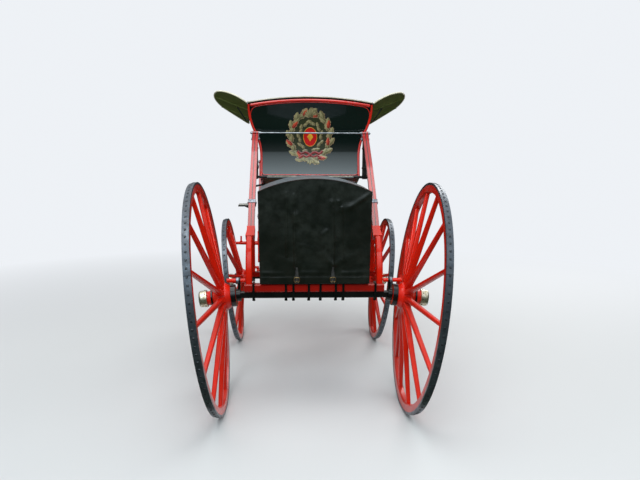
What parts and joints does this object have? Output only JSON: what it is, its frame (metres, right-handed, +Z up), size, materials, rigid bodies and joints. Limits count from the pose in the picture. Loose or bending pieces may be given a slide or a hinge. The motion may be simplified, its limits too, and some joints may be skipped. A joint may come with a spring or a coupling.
{
  "type": "high perch phaeton",
  "caption": "Tall open two-seat horse carriage hung on whip springs over its front axle, with dished red wheels and a leather trunk behind.",
  "frame": {"origin": "on the ground at the middle of the carriage's length and width", "axes": "+Y forwards, +X to the carriage's right, +Z up"},
  "size_m": [1.7666, 3.3347, 2.3811],
  "materials": {
    "tyre_iron": "worn grey iron",
    "red_wood": "gloss red coach paint on timber",
    "red_steel": "gloss red coach paint on spring steel",
    "black_iron": "black coach paint on forged iron",
    "bright_steel": "bright steel",
    "harness_leather": "black harness leather",
    "trunk_leather": "soft black boot leather",
    "green_panel": "varnished very dark green panel",
    "cushion_cloth": "drab box cloth",
    "black_leather": "patent leather",
    "wing_leather": "patent leather, dark olive below"
  },
  "bodies": {
    "carriage": {"hind_axle": "black_iron", "hind_bed": "red_wood", "hind_bars": "red_wood", "hind_clips": "black_iron", "perch": "red_wood", "perch_wings": "red_wood", "trunk_rails": "red_wood", "trunk_case": "trunk_leather", "trunk_flap": "trunk_leather", "trunk_straps": "harness_leather", "transom": "red_wood", "plate_upper": "black_iron", "perch_bolt": "black_iron", "spring_posts": "red_wood", "spring_feet": "red_steel", "hind_springs": "red_steel", "fore_springs": "red_steel", "spring_stays": "red_wood", "shackles": "bright_steel", "head_rods": "bright_steel", "braces": "harness_leather", "body_back": "green_panel", "body_sides": "green_panel", "body_floor": "green_panel", "toe_board": "green_panel", "seat_board": "green_panel", "seat_cushion": "cushion_cloth", "squabs": "cushion_cloth", "dash": "black_leather", "wings": "wing_leather", "wing_stays": "black_iron", "body_irons": "black_iron", "step": "black_iron"},
    "fore_carriage": {"fore_axle": "black_iron", "fore_bed": "red_wood", "fore_bars": "red_wood", "fore_clips": "black_iron", "futchells": "red_wood", "splinter_bar": "red_wood", "plate_lower": "black_iron"},
    "wheel_hind_left": {"tyre_hind_left": "tyre_iron", "felloes_hind_left": "red_wood", "spokes_hind_left": "red_wood", "hub_hind_left": "red_wood"},
    "wheel_hind_right": {"tyre_hind_right": "tyre_iron", "felloes_hind_right": "red_wood", "spokes_hind_right": "red_wood", "hub_hind_right": "red_wood"},
    "wheel_fore_left": {"tyre_fore_left": "tyre_iron", "felloes_fore_left": "red_wood", "spokes_fore_left": "red_wood", "hub_fore_left": "red_wood"},
    "wheel_fore_right": {"tyre_fore_right": "tyre_iron", "felloes_fore_right": "red_wood", "spokes_fore_right": "red_wood", "hub_fore_right": "red_wood"}
  },
  "joints": [
    {"name": "hind_right_spin", "type": "hinge", "parent": "carriage", "child": "wheel_hind_right", "pos_m": [0.76486, -0.82663, 0.83261], "axis": [0.9936, 0, -0.1132], "continuous": true},
    {"name": "hind_left_spin", "type": "hinge", "parent": "carriage", "child": "wheel_hind_left", "pos_m": [-0.76486, -0.82663, 0.83261], "axis": [-0.9936, 0, -0.1132], "continuous": true},
    {"name": "fore_right_spin", "type": "hinge", "parent": "fore_carriage", "child": "wheel_fore_right", "pos_m": [0.73826, 1.01337, 0.59912], "axis": [0.9936, 0, -0.1132], "continuous": true},
    {"name": "fore_left_spin", "type": "hinge", "parent": "fore_carriage", "child": "wheel_fore_left", "pos_m": [-0.73826, 1.01337, 0.59912], "axis": [-0.9936, 0, -0.1132], "continuous": true},
    {"name": "fore_carriage_steer", "type": "hinge", "parent": "carriage", "child": "fore_carriage", "pos_m": [0, 1.01337, 0.77354], "axis": [0, 0, 1], "range_deg": [-28, 28]}
  ]
}
